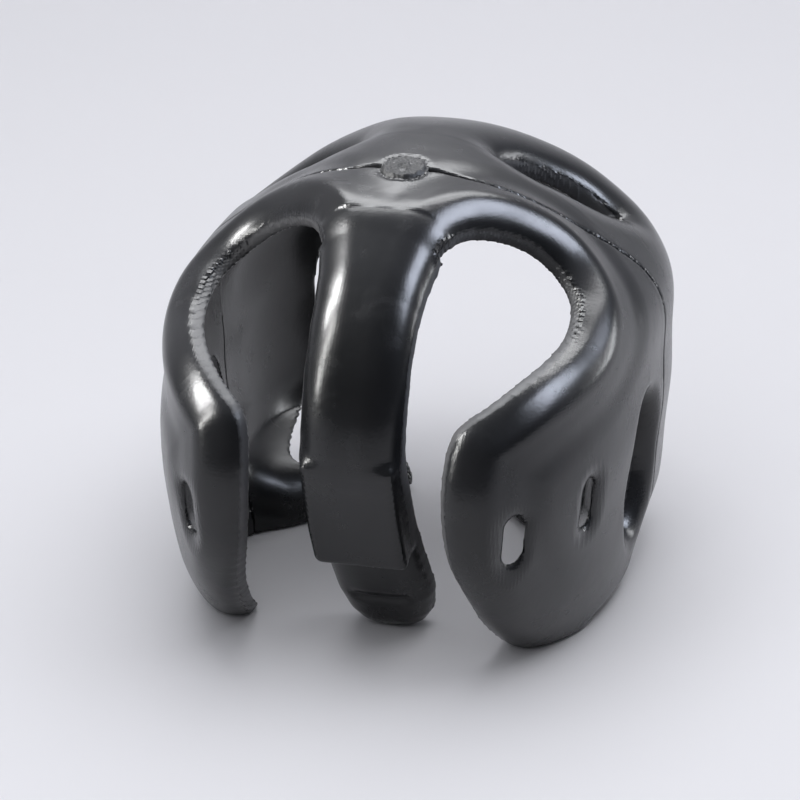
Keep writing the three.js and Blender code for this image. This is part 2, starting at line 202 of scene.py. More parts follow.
# ------------------------------------------------------------------ envelope
def envelope(x, y, z):
    """Field that is zero on the outer face and positive outside."""
    q = y - 6
    along = np.minimum((np.sqrt(q * q + 81) + q) / 176, 1)
    x = x / (1 - 0.72 * along * smooth((36 - z) / 36))   # the jaw narrows low at the front
    dz = z - DOME_Z
    up = 0.5 * (np.sqrt(dz * dz + 36.0) + dz)            # the wall eases into the dome
    z_low = np.maximum(z, 0)
    drop = np.maximum((70 - z_low) / 60, 0)
    half_width = HALF_WIDTH * (1 - WIDTH_TAPER * drop * drop)
    y_mid = y - (MIDDLE_Y + MIDDLE_DRIFT * up)
    rear = y_mid < 0
    reach = np.where(rear, REAR_REACH * (1 - REAR_TAPER * drop ** 2.15),
                     FRONT_REACH * (1 - FRONT_TAPER * drop * drop))
    power = np.where(rear, REAR_POWER, FRONT_POWER).astype(np.float32)
    x = np.abs(x) + 1e-3
    y_abs = np.abs(y_mid) + 1e-3
    sideways = x * x / (x * x + y_abs * y_abs)
    swell = 1.0
    for height, spread, at_side, at_rear, at_front in SWELL:
        share = at_side * sideways + np.where(rear, at_rear, at_front) * (1 - sideways)
        swell = swell + share * bell(z_low, height, spread)
    r = ((x / half_width) ** power + (y_abs / reach) ** power) ** (1 / power) / swell
    return (r ** DOME_POWER + (up / DOME_HEIGHT) ** DOME_POWER) ** (1 / DOME_POWER) - 1


def envelope_distance(points):
    """Signed distance to the envelope, and its outward normal, at points (N, 3)."""
    points = np.asarray(points, float)
    value = envelope(*points.T)
    slope = np.zeros_like(points)
    for i in range(3):
        nudge = np.zeros(3)
        nudge[i] = 0.5
        slope[:, i] = envelope(*(points + nudge).T) - envelope(*(points - nudge).T)
    length = np.linalg.norm(slope, axis=1) + 1e-12
    return value / length, slope / length[:, None]


def lift(base, direction, depth=WALL, near=0.0, far=220.0):
    """Last crossing of rays from base (N, 3) with the surface at depth under the envelope.
    Returns the points and which rays cross."""
    base = np.asarray(base, float)
    direction = np.broadcast_to(np.asarray(direction, float), base.shape)
    steps = np.linspace(near, far, 221)
    best = np.full(len(base), near)
    hit = np.zeros(len(base), bool)
    before = envelope_distance(base + direction * steps[0])[0] + depth
    for last, step in zip(steps[:-1], steps[1:]):
        here = envelope_distance(base + direction * step)[0] + depth
        cross = (before < 0) & (here >= 0)
        change = np.where(here - before == 0, 1, here - before)
        best = np.where(cross, last + (step - last) * (-before) / change, best)
        hit |= cross
        before = here
    return base + direction * best[:, None], hit


def settle(curve, spacing=1.8, sigma=2.2):
    """Even spacing, light smoothing, and back on to the inner face."""
    length = np.concatenate([[0], np.cumsum(np.linalg.norm(np.diff(curve, axis=0), axis=1))])
    even = np.linspace(0, length[-1], max(int(length[-1] / spacing), 8))
    c = np.stack([np.interp(even, length, curve[:, k]) for k in range(3)], 1)
    r = int(3 * sigma)
    weights = np.exp(-0.5 * (np.arange(-r, r + 1) / sigma) ** 2)
    weights /= weights.sum()
    padded = np.concatenate([2 * c[0] - c[r:0:-1], c, 2 * c[-1] - c[-2:-r - 2:-1]])
    c = np.stack([np.convolve(padded[:, k], weights, "valid") for k in range(3)], 1)
    for _ in range(3):
        distance, normal = envelope_distance(c)
        c = c - normal * (distance + WALL)[:, None]
    return c


# ------------------------------------------------------------------ edge curves, inner face
rear_line = catmull(OPENING, 2.2)
rear_curve, hit = lift(np.stack([rear_line[:, 0], rear_line[:, 1] * TILTED_UP[1],
                                 rear_line[:, 1] * TILTED_UP[2]], 1), TILTED_BACK, near=-60)
rear_curve = settle(rear_curve[hit])
rear_polygon = np.concatenate([catmull(STRIP_EDGE + [OPENING[0]], 4)[:-1], rear_line,
                               [[140, -16.8], [140, -140], [21, -140]]])

angle = np.radians(np.linspace(-62, 86, 190))
rays = np.stack([np.cos(angle), np.sin(angle), 0 * angle], 1)
floor_curve, hit = lift(np.broadcast_to([0.0, 5.0, FLOOR_EDGE_Z], rays.shape), rays,
                        near=5, far=160)
floor_curve = floor_curve[hit]
floor_curve = floor_curve[(floor_curve[:, 1] > -40) & (floor_curve[:, 0] > 20)]

face_line = catmull(FACE, 2.4)
face_polygon = np.concatenate([[[0, -20]], face_line])
face_line = face_line[face_line[:, 1] > -2]
face_curve, hit = lift(np.stack([face_line[:, 0], 0 * face_line[:, 0] + 15, face_line[:, 1]], 1),
                       [0, 1, 0], far=140)
face_curve = settle(face_curve[hit])

angle = np.linspace(0, 2 * math.pi, 72, endpoint=False)
ear_curve, _ = lift(np.stack([0 * angle + 50, EAR_Y + EAR_HALF_Y * np.cos(angle),
                              EAR_Z + EAR_HALF_Z * np.sin(angle)], 1), [1, 0, 0], far=80)

vent_polygon = catmull(VENT, 2.0, closed=True)
vent_curve, _ = lift(np.stack([*vent_polygon.T, 0 * vent_polygon[:, 0] + 110], 1),
                     [0, 0, 1], far=100)

# Side profile of the strip's inner face: the outer one set in by the wall
strip_outer = catmull(STRIP_OUTER, 2.0)
tangent = np.gradient(strip_outer, axis=0)
tangent /= np.linalg.norm(tangent, axis=1)[:, None]
strip_inner = strip_outer + np.stack([-tangent[:, 1], tangent[:, 0]], 1) * WALL
# The strip is slightly crowned across its width, as the envelope is
crown_points, _ = lift(np.array([[0, -50, 120.0], [24, -50, 120.0]]), [0, 0, 1], depth=0, far=90)
STRIP_CROWN = float(crown_points[0, 2] - crown_points[1, 2]) / 24 ** 2

edge_z = np.linspace(0.0, 175.0, 120)
order = np.argsort(strip_inner[:, 1])
edge_y = np.interp(edge_z, strip_inner[order][:, 1], strip_inner[order][:, 0])
edge_half = strip_half_width(edge_z)
for _ in range(4):
    edge_half = strip_half_width(edge_z - STRIP_CROWN * edge_half ** 2)
strip_curves = [np.stack([side * edge_half + strip_lean(edge_z), edge_y, edge_z], 1)
                for side in (1, -1)]

# ------------------------------------------------------------------ grid
LOW = np.array([-113.0, -153.0, -7.0])
HIGH = np.array([113.0, 130.0, 204.0])
SHAPE = np.ceil((HIGH - LOW) / STEP).astype(int) + 1
xs, ys, zs = [(LOW[i] + STEP * np.arange(SHAPE[i])).astype(np.float32) for i in range(3)]
X, Y, Z = xs[:, None, None], ys[None, :, None], zs[None, None, :]
blank = np.zeros(SHAPE, np.float32)
level = envelope(X + blank, Y + blank, Z + blank).astype(np.float32)
grid_normals = np.gradient(level, STEP)
steepness = np.sqrt(sum(g ** 2 for g in grid_normals)) + 1e-9
grid_normals = [g / steepness for g in grid_normals]
height = WALL + level / steepness                        # above the inner face
FAR = 1e6

segment_sets = []      # per curve: starts, ends, tangents at starts and at ends, curve numbers


def splat(field, curve, radius, closed=False):
    """Mark, in every grid cell near the curve, which of its segments is nearest."""
    nearest2, ids = field
    c = np.asarray(curve, np.float32)
    ends = np.roll(c, -1, axis=0) if closed else c[1:]
    starts = c if closed else c[:-1]
    if closed:
        tangents = np.roll(c, -1, axis=0) - np.roll(c, 1, axis=0)
    else:
        tangents = np.gradient(c, axis=0)
    tangents = tangents / (np.linalg.norm(tangents, axis=1)[:, None] + 1e-9)
    first_id = sum(len(s[0]) for s in segment_sets)
    count = len(starts)
    segment_sets.append((starts, ends, tangents[:count], np.roll(tangents, -1, axis=0)[:count],
                         np.full(count, len(segment_sets))))
    for number, (p, q) in enumerate(zip(starts, ends), first_id):
        i0 = np.maximum(((np.minimum(p, q) - radius - LOW) / STEP).astype(int), 0)
        i1 = np.minimum(((np.maximum(p, q) + radius - LOW) / STEP).astype(int) + 2, SHAPE)
        if np.any(i1 <= i0):
            continue
        x = X[i0[0]:i1[0]] - p[0]
        y = Y[:, i0[1]:i1[1]] - p[1]
        z = Z[:, :, i0[2]:i1[2]] - p[2]
        d = q - p
        t = np.clip((x * d[0] + y * d[1] + z * d[2]) / (float(d @ d) + 1e-9), 0, 1)
        r2 = (x - t * d[0]) ** 2 + (y - t * d[1]) ** 2 + (z - t * d[2]) ** 2
        block = tuple(slice(a, b) for a, b in zip(i0, i1))
        closer = r2 < nearest2[block]
        nearest2[block][closer] = r2[closer]
        ids[block][closer] = number


def edge_field(*curve_sets):
    """Field of nearest segments for (curves, radius, closed) sets."""
    field = np.full(SHAPE, FAR, np.float32), np.full(SHAPE, -1, np.int32)
    for curves, radius, closed in curve_sets:
        for curve in curves:
            splat(field, curve, radius, closed)
    return field


def both(curve):
    return [curve, curve * np.array([-1, 1, 1])]


main_edges = edge_field((both(rear_curve), ROUND_MAIN + 22, False),
                        (both(face_curve), ROUND_MAIN + 3, False))
floor_edges = edge_field((both(floor_curve), ROUND_FLOOR + 3, False))
ear_edges = edge_field((both(ear_curve), ROUND_EAR + 4, True))
vent_edges = edge_field((both(vent_curve), ROUND_VENT + 3, True))
strip_edges = edge_field((strip_curves, ROUND_MAIN + 3, False))
seg_start, seg_end, seg_tangent0, seg_tangent1, seg_curve = [
    np.concatenate(column) for column in zip(*segment_sets)]


def nearest_edge(field, points, normals=None):
    """Exact distance from points (N, 3) to the field's curves. With surface normals, also
    the side of the curve each point lies on and the number of that curve."""
    cell = np.clip(np.rint((points - LOW) / STEP).astype(int), 0, SHAPE - 1)
    ids = field[1][cell[:, 0], cell[:, 1], cell[:, 2]]
    best = np.full(len(points), 40.0 ** 2)
    side = np.zeros(len(points))
    curve_no = np.full(len(points), -1)
    known = ids >= 0
    for neighbour in (-2, -1, 0, 1, 2):
        k = np.clip(ids[known] + neighbour, 0, len(seg_start) - 1)
        d = seg_end[k] - seg_start[k]
        away = points[known] - seg_start[k]
        t = np.clip((away * d).sum(1) / ((d * d).sum(1) + 1e-9), 0, 1)[:, None]
        away = away - t * d
        r2 = (away ** 2).sum(1)
        closer = r2 < best[known]
        if normals is not None:
            along = seg_tangent0[k] * (1 - t) + seg_tangent1[k] * t
            cross = (np.cross(along, normals[known]) * away).sum(1)
            side[known] = np.where(closer, cross, side[known])
            curve_no[known] = np.where(closer, seg_curve[k], curve_no[known])
        best[known] = np.where(closer, r2, best[known])
    distance = np.sqrt(best)
    return distance if normals is None else (distance, side, curve_no)


def refine_outside(rough, distance, side, curve_no):
    """Near each curve, replace a rough outside test by the side of the curve."""
    result = rough.copy()
    for number in np.unique(curve_no[curve_no >= 0]):
        voters = (curve_no == number) & (distance > 2.5) & (distance < 9)
        vote = (np.sign(side[voters]) * np.where(rough[voters], 1, -1)).sum()
        near = (curve_no == number) & (distance < 10)
        result[near] = side[near] * (1 if vote >= 0 else -1) > 0
    return result


# ------------------------------------------------------------------ strip sheet
# Height above the strip's inner profile, as a table on (y, z)
table_y, table_z = np.meshgrid(ys, np.append(zs, zs[-1] + STEP * np.arange(1, 4)),
                               indexing="ij")
table = np.full(table_y.shape, FAR)
table_sign = np.ones(table_y.shape)
for p, q in zip(strip_inner[:-1], strip_inner[1:]):
    d = q - p
    t = np.clip(((table_y - p[0]) * d[0] + (table_z - p[1]) * d[1]) / (d @ d), 0, 1)
    ey, ez = table_y - p[0] - t * d[0], table_z - p[1] - t * d[1]
    r = np.hypot(ey, ez)
    table_sign = np.where(r < table, np.sign(d[1] * ey - d[0] * ez), table_sign)
    table = np.where(r < table, r, table)
table = table * table_sign
slope_y, slope_z = np.gradient(table, STEP)
slope = np.hypot(slope_y, slope_z) + 1e-9

# The slab of the grid that can hold the strip
columns = np.nonzero((xs > -48) & (xs < 48))[0]
slab = slice(columns[0], columns[-1] + 1)
strip_x = np.abs((X[slab] - strip_lean(zs)[None, None, :]) + np.zeros((1, SHAPE[1], 1), np.float32))
crown_drop = STRIP_CROWN * np.minimum(strip_x, 40) ** 2
row = np.clip((Z + crown_drop - zs[0]) / STEP, 0, table.shape[1] - 1.001)
row0 = np.floor(row).astype(int)
row_part = row - row0
column = np.arange(SHAPE[1])[None, :, None]


def lookup(values):
    mixed = values[column, row0] * (1 - row_part) + values[column, row0 + 1] * row_part
    return mixed.astype(np.float32)


strip_height = lookup(table)
# Where the strip takes over from the dome; inside its corridor the dome's wall is cut away
takeover = np.maximum(smooth((-47 - Y) / 26), smooth((150 - Z) / 20) * (Y < -20))
takeover = takeover * smooth((38 - strip_x) / 8)
mixed = height[slab] * (1 - takeover) + strip_height * takeover
in_strip = (strip_height > -7) & (strip_height < WALL + 7)
cleared = np.where(in_strip, strip_height, np.where(strip_height < 0, -8, WALL + 8))
height[slab] = np.where(takeover > 0.999, cleared, mixed)
strip_share = np.zeros(SHAPE, np.float32)
strip_share[slab] = takeover

# ------------------------------------------------------------------ wall, in a band round it
band = (height > -12) & (height < WALL + 5)
cells = np.nonzero(band)
u = height[band].astype(np.float64)
px, py, pz = [axis[c].astype(np.float64) for axis, c in zip((xs, ys, zs), cells)]
share = strip_share[band].astype(np.float64)


def slab_to_band(values):
    whole = np.zeros(SHAPE, np.float32)
    whole[slab] = values
    return whole[band].astype(np.float64)


# Foot points: where each band point drops on to the inner face
normals = np.stack([g[band] * (1 - share) for g in grid_normals], 1)
normals[:, 1] += slab_to_band(lookup(slope_y / slope)) * share
normals[:, 2] += slab_to_band(lookup(slope_z / slope)) * share
foot = np.stack([px, py, pz], 1) - normals * u[:, None]
strip_foot = foot + slab_to_band(crown_drop)[:, None] * np.array([0, 0, 1.0])
normals /= np.linalg.norm(normals, axis=1)[:, None] + 1e-9
fx, fy, fz = foot.T
fx_abs = np.abs(fx)
unevenness = (0.14 * np.sin(fx * 0.61 + fz * 0.43) * np.sin(fy * 0.52 - fz * 0.37)
              + 0.06 * np.sin(fx * 1.7 + fy * 1.3) * np.sin(fz * 1.9 + fy * 0.8))


def trimmed(distance, outside):
    """Signed distance in from an edge, with a hand-trimmed wobble that fades inwards."""
    return np.where(outside, -distance, distance) + unevenness * bell(distance, 0, 1.5)


# rho: distance in from the nearest edge, 1 where the outer face stops rounding over
outside_rear = (fy < 8) & inside(rear_polygon, fx_abs,
                                 fy * TILTED_UP[1] + fz * TILTED_UP[2])
outside_face = (fy > 15) & inside(face_polygon, fx_abs, fz)
ear_radius2 = ((fy - EAR_Y) / EAR_HALF_Y) ** 2 + ((fz - EAR_Z) / EAR_HALF_Z) ** 2
outside_vent = (fz > 110) & inside(vent_polygon, fx_abs, fy)
main_distance, main_side, main_curve = nearest_edge(main_edges, foot, normals)
outside_main = refine_outside(outside_rear | outside_face, main_distance, main_side, main_curve)
rho = trimmed(main_distance, outside_main) / ROUND_MAIN
rho = np.minimum(rho, trimmed(nearest_edge(floor_edges, foot), fz < FLOOR_EDGE_Z) / ROUND_FLOOR)
rho = np.minimum(rho, trimmed(nearest_edge(ear_edges, foot),
                              (fx_abs > 55) & (ear_radius2 < 1)) / ROUND_EAR)
rho_vent = trimmed(nearest_edge(vent_edges, foot), outside_vent) / ROUND_VENT
rho = np.minimum(rho, rho_vent)
strip_distance = np.minimum(nearest_edge(strip_edges, strip_foot), nearest_edge(main_edges, foot))
outside_strip = np.abs(fx - strip_lean(fz)) > strip_half_width(fz)
rho = rho * (1 - share) + trimmed(strip_distance, outside_strip) / ROUND_MAIN * share

# Blunt trimmed edge (taller at the vents), then a quarter-round pillow
blunt = np.where(rho_vent < rho + 1e-6, 5.0, 2.6)
# A soft bead follows the rear openings, with a shallow valley behind it
bead_at = np.where((fy < 10) & (share < 0.5) & (fz > 30), main_distance, 60.0)
bead = 1.1 * bell(bead_at, 12, 5.5) - 0.9 * bell(bead_at, 29, 7)
bead *= smooth((fz - 30) / 30) * (1 - share)
rounding = WALL + bead - blunt
pillow = np.sqrt(np.maximum(1 - rho, 0) ** 2 + (np.maximum(u - blunt, 0) / rounding) ** 2) - 1
# Shallow oval dishes inside the temples, and the thicker jaw
dish = 1.0 * smooth((1.05 - np.hypot((fy - 27) / 46, (fz - 112) / 23)) / 0.95) * (fx_abs > 40)
jaw = 11.0 * smooth((fy + 8) / 32) * smooth((50 - fz) / 50)
wall = np.maximum(pillow * rounding, -(u - 2.2 * dish + jaw))

# Strap slots: a small flare outside, a thin web, and a wide countersink inside
for slot_x, slot_y, slot_z in SLOTS:
    out_x, out_y, _ = unit(np.array([slot_x, slot_y - SLOT_AXES_Y, 0.0]))
    dx, dy = np.abs(px) - slot_x, py - slot_y
    across = dx * -out_y + dy * out_x
    outward = dx * out_x + dy * out_y
    upright = np.maximum(np.abs(pz - slot_z) - SLOT_HALF_STRAIGHT, 0)
    from_rim = np.hypot(across, upright) - SLOT_RADIUS
    depth = WALL - u
    flare = np.where(depth < 3.5, 7.4 * np.maximum(1 - (depth + 0.6) / 4.1, 0) ** 2,
                     np.minimum((depth - 3.5) * 1.25, 11))
    cut = np.where((outward > -45) & (from_rim < 20), (flare - from_rim) * 0.8, -9)
    wall = smooth_max(wall, cut, 2.0)

solid = np.full(SHAPE, 8.0, np.float32)
solid[band] = wall
edge_rho = np.full(SHAPE, 2.0, np.float32)
edge_rho[band] = rho


# ------------------------------------------------------------------ pad, groove, ring, floor
def pad_field():
    """Rounded block across the nape, its outer face on the line PAD_TOP to PAD_FOOT."""
    length = np.linalg.norm(PAD_FOOT - PAD_TOP)
    down_y, down_z = (PAD_FOOT - PAD_TOP) / length
    from_y, from_z = Y - PAD_TOP[0], Z - PAD_TOP[1]
    along = from_y * down_y + from_z * down_z
    outward = from_y * down_z + from_z * -down_y
    qa = strip_x - (PAD_HALF_WIDTH - PAD_CORNER)
    qb = np.abs(along - length / 2) - length / 2 + PAD_CORNER
    qc = np.abs(outward + PAD_DEPTH / 2) - PAD_DEPTH / 2 + PAD_CORNER
    outside = np.sqrt(np.maximum(qa, 0) ** 2 + np.maximum(qb, 0) ** 2 + np.maximum(qc, 0) ** 2)
    return outside + np.minimum(np.maximum(np.maximum(qa, qb), qc), 0) - PAD_CORNER


# Moulded groove across the foot of the strip, on its outer face
groove = 1.7 * bell(Z, 21, 2.6) * smooth((15 - strip_x) / 5)
region = solid[slab] + groove * smooth((height[slab] - 5) / 7) * (strip_share[slab] > 0.9)
region = np.where(Y < -60, -smooth_max(-region, -pad_field(), PAD_BLEND), region)
solid[slab] = region.astype(np.float32)
# Sunk ring round the sprue plug
plug_distance = np.sqrt((X - PLUG_X) ** 2 + (Y - PLUG_Y) ** 2)
solid += (0.9 * bell(plug_distance, 10.1, 0.9) * (Z > 150)).astype(np.float32)
solid = np.maximum(solid, (0.3 - Z).astype(np.float32))  # nothing below the floor


# ------------------------------------------------------------------ surface nets
def nets(f):
    """Quad net of the zero surface of f: vertices in grid coordinates, and quads."""
    negative = f < 0
    rows, layers = f.shape[1] - 1, f.shape[2] - 1
    ids, points, quads = [], [], []
    for axis in range(3):
        a, b = [slice(None)] * 3, [slice(None)] * 3
        a[axis], b[axis] = slice(0, -1), slice(1, None)
        edge = np.argwhere(negative[tuple(a)] != negative[tuple(b)])
        others = [k for k in range(3) if k != axis]
        limit = np.array([f.shape[k] - 1 for k in others])
        edge = edge[np.all((edge[:, others] > 0) & (edge[:, others] < limit), axis=1)]
        end = edge.copy()
        end[:, axis] += 1
        f0, f1 = f[tuple(edge.T)], f[tuple(end.T)]
        point = edge.astype(np.float64)
        point[:, axis] += f0 / (f0 - f1)
        corners = []
        for d0, d1 in ((0, 0), (1, 0), (1, 1), (0, 1)):
            c = edge.copy()
            c[:, others[0]] -= d0
            c[:, others[1]] -= d1
            corners.append((c[:, 0] * rows + c[:, 1]) * layers + c[:, 2])
            points.append(point)
        ids += corners
        quad = np.stack(corners, 1)
        flip = f0 < 0 if axis != 1 else f0 >= 0
        quads.append(np.where(flip[:, None], quad[:, ::-1], quad))
    points = np.concatenate(points)
    unique, inverse = np.unique(np.concatenate(ids), return_inverse=True)
    count = np.bincount(inverse)
    verts = np.stack([np.bincount(inverse, points[:, k]) / count for k in range(3)], 1)
    return verts, np.searchsorted(unique, np.concatenate(quads))


def sample(f, points):
    """Trilinear value and gradient at grid coordinates."""
    cell = np.clip(np.floor(points).astype(int), 0, np.array(f.shape) - 2)
    x, y, z = (points - cell).T
    value = dx = dy = dz = 0
    for a in (0, 1):
        for b in (0, 1):
            for c in (0, 1):
                corner = f[cell[:, 0] + a, cell[:, 1] + b, cell[:, 2] + c].astype(np.float64)
                wx, wy, wz = (x if a else 1 - x), (y if b else 1 - y), (z if c else 1 - z)
                value = value + corner * wx * wy * wz
                dx = dx + corner * (1 if a else -1) * wy * wz
                dy = dy + corner * wx * (1 if b else -1) * wz
                dz = dz + corner * wx * wy * (1 if c else -1)
    return value, np.stack([dx, dy, dz], 1)


def relax(verts, quads, f, rounds=2):
    """Even out the net, pulling each point back on to the surface."""
    n = len(verts)
    e = np.concatenate([quads[:, [0, 1]], quads[:, [1, 2]], quads[:, [2, 3]], quads[:, [3, 0]]])
    count = np.bincount(e[:, 0], minlength=n) + np.bincount(e[:, 1], minlength=n)
    for _ in range(rounds):
        total = np.stack([np.bincount(e[:, 0], verts[e[:, 1], k], n)
                          + np.bincount(e[:, 1], verts[e[:, 0], k], n) for k in range(3)], 1)
        _, slope = sample(f, verts)
        normal = slope / np.sqrt((slope ** 2).sum(1) + 1e-6)[:, None]
        move = total / count[:, None] - verts
        move -= normal * (move * normal).sum(1)[:, None]
        verts = verts + 0.5 * move
        value, slope = sample(f, verts)
        pull = -value[:, None] * slope / ((slope ** 2).sum(1) + 1e-6)[:, None]
        length = np.linalg.norm(pull, axis=1)
        pull *= np.minimum(1, 0.45 / np.maximum(length, 1e-9))[:, None]
        verts = verts + pull
    return verts


def components(n, faces):
    """Component label of each vertex."""
    label = np.arange(n)
    e = np.concatenate([np.stack([faces[:, i], faces[:, (i + 1) % faces.shape[1]]], 1)
                        for i in range(faces.shape[1])])
    while True:
        lowest = np.minimum(label[e[:, 0]], label[e[:, 1]])
        new = label.copy()
        np.minimum.at(new, e[:, 0], lowest)
        np.minimum.at(new, e[:, 1], lowest)
        new = new[new]
        if np.array_equal(new, label):
            return label
        label = new


def keep_big(verts, quads, least=200):
    """Drop loose crumbs."""
    label = components(len(verts), quads)
    big = np.bincount(label, minlength=len(verts))[label] >= least
    kept = quads[big[quads[:, 0]]]
    used = np.unique(kept)
    renumber = np.full(len(verts), -1)
    renumber[used] = np.arange(len(used))
    return verts[used], renumber[kept]


def make(name, verts_mm, faces):
    mesh = bpy.data.meshes.new(name)
    mesh.from_pydata((verts_mm * 0.001 + SHIFT).tolist(), [], faces)
    mesh.update()
    ob = bpy.data.objects.new(name, mesh)
    bpy.context.scene.collection.objects.link(ob)
    return ob


# ------------------------------------------------------------------ front and rear mouldings
seam = (Y - seam_y(xs)[:, None, None]).astype(np.float32)       # negative to the rear
gap = 0.32 + 0.10 * np.sin(X * 0.35 + 1.0) * np.sin(Z * 0.21)
# The joint opens a little beside the plug and down the sides by the ears
gap_extra = (0.9 * bell(np.abs(X), 12.5, 2.2) * (Z > 150)
             + 0.55 * bell(Z, 98, 9) + 0.5 * bell(Z, 66, 16))
outer_share = smooth((height - 3) / 4)
gap = (0.02 + (gap + gap_extra) * outer_share).astype(np.float32)
seam_blend = (0.25 + 1.15 * outer_share).astype(np.float32)


def moulding(name, seam_side):
    field = smooth_max(solid, (seam_side + gap * 0.5) * 0.98, seam_blend)
    verts, quads = nets(field)
    verts, quads = keep_big(relax(verts, quads, field), quads)
    return make(name, LOW + verts * STEP, quads.tolist())


front = moulding("front_moulding", -seam)
rear_all = moulding("rear_all", seam)

# ------------------------------------------------------------------ split at the spring hinges
joints = {j["name"]: j for j in frame["joints"]}
hinge_axis = np.array(joints["right_flap_spread"]["axis"], float)
HINGE = np.array(joints["right_flap_spread"]["pos_m"], float)
AHEAD = unit(np.array([0, hinge_axis[2], -hinge_axis[1]]))
CUT = 0.014                                              # cut ahead of the hinge, metres


def vector_data(items, key):
    values = np.zeros(len(items) * 3)
    items.foreach_get(key, values)
    return values.reshape(-1, 3)


def split_rear(whole):
    """Cut the rear moulding across the hinges, cap it, and return its pieces by name."""
    cut_point = HINGE * np.array([0, 1, 1]) + AHEAD * CUT
    origin, ahead = Vector(cut_point), Vector(AHEAD)
    bm = bmesh.new()
    bm.from_mesh(whole.data)
    bmesh.ops.bisect_plane(bm, geom=bm.verts[:] + bm.edges[:] + bm.faces[:], dist=1e-7,
                           plane_co=origin, plane_no=ahead)
    on_cut = {v for v in bm.verts if abs((v.co - origin).dot(ahead)) < 2e-7}

    def is_ahead(face):
        return (face.calc_center_median() - origin).dot(ahead) > 0

    cut_edges = [e for e in bm.edges
                 if e.verts[0] in on_cut and e.verts[1] in on_cut and len(e.link_faces) == 2
                 and is_ahead(e.link_faces[0]) != is_ahead(e.link_faces[1])]
    bmesh.ops.split_edges(bm, edges=cut_edges)
    old_faces = set(bm.faces)
    bmesh.ops.holes_fill(bm, edges=[e for e in bm.edges if len(e.link_faces) == 1], sides=0)
    bmesh.ops.triangulate(bm, faces=[f for f in bm.faces if f not in old_faces])
    mesh = bpy.data.meshes.new("rear_split")
    bm.to_mesh(mesh)
    bm.free()
    mesh.update()
    bpy.data.objects.remove(whole)

    points = vector_data(mesh.vertices, "co")
    faces = [list(p.vertices) for p in mesh.polygons]
    label = components(len(points), np.array([[f[0], f[i], f[i + 1]] for f in faces
                                              for i in range(1, len(f) - 1)]))
    groups = {}
    for number in np.unique(label):
        members = np.nonzero(label == number)[0]
        if len(members) < 60:
            continue
        x = points[members, 0].mean() * 1000
        if ((points[members] - cut_point) @ AHEAD).mean() > 0:
            name = "crown_band"
        elif abs(x) > 40:
            name = "right_flap_shell" if x > 0 else "left_flap_shell"
        else:
            name = "rear_strip_shell"
        groups.setdefault(name, []).extend(members.tolist())

    result = {}
    for name, members in groups.items():
        members = np.array(sorted(members))
        renumber = np.full(len(points), -1)
        renumber[members] = np.arange(len(members))
        own_faces = [[int(renumber[i]) for i in f] for f in faces if renumber[f[0]] >= 0]
        result[name] = make(name, (points[members] - SHIFT) * 1000, own_faces)
    return result


pieces = split_rear(rear_all)
pieces["front_moulding"] = front


def finish_mesh(ob):
    """Smooth normals from the field, and distances to seam and edges for the shader."""
    mesh = ob.data
    mm = (vector_data(mesh.vertices, "co") - SHIFT) * 1000
    grid = (mm - LOW) / STEP
    slope = np.stack([sample(solid, grid + e)[0] - sample(solid, grid - e)[0]
                      for e in np.eye(3)], 1)
    normal = slope / (np.linalg.norm(slope, axis=1)[:, None] + 1e-9)
    mesh.polygons.foreach_set("use_smooth", np.ones(len(mesh.polygons), bool))
    loop_vertex = np.zeros(len(mesh.loops), int)
    mesh.loops.foreach_get("vertex_index", loop_vertex)
    corner_count = np.zeros(len(mesh.polygons), int)
    mesh.polygons.foreach_get("loop_total", corner_count)
    face_normal = np.repeat(vector_data(mesh.polygons, "normal"), corner_count, axis=0)
    loop_normal = normal[loop_vertex]
    # faces of the cuts and the seam turn away from the field, and stay flat
    flat = (loop_normal * face_normal).sum(1) < 0.35
    loop_normal = np.where(flat[:, None], face_normal, loop_normal)
    mesh.normals_split_custom_set(loop_normal.tolist())
    for name, values in (("seam", mm[:, 1] - seam_y(mm[:, 0])),
                         ("edge", sample(edge_rho, grid)[0] * ROUND_MAIN)):
        attribute = mesh.attributes.new(name, "FLOAT", "POINT")
        attribute.data.foreach_set("value", values.astype(np.float32))


for ob in pieces.values():
    finish_mesh(ob)


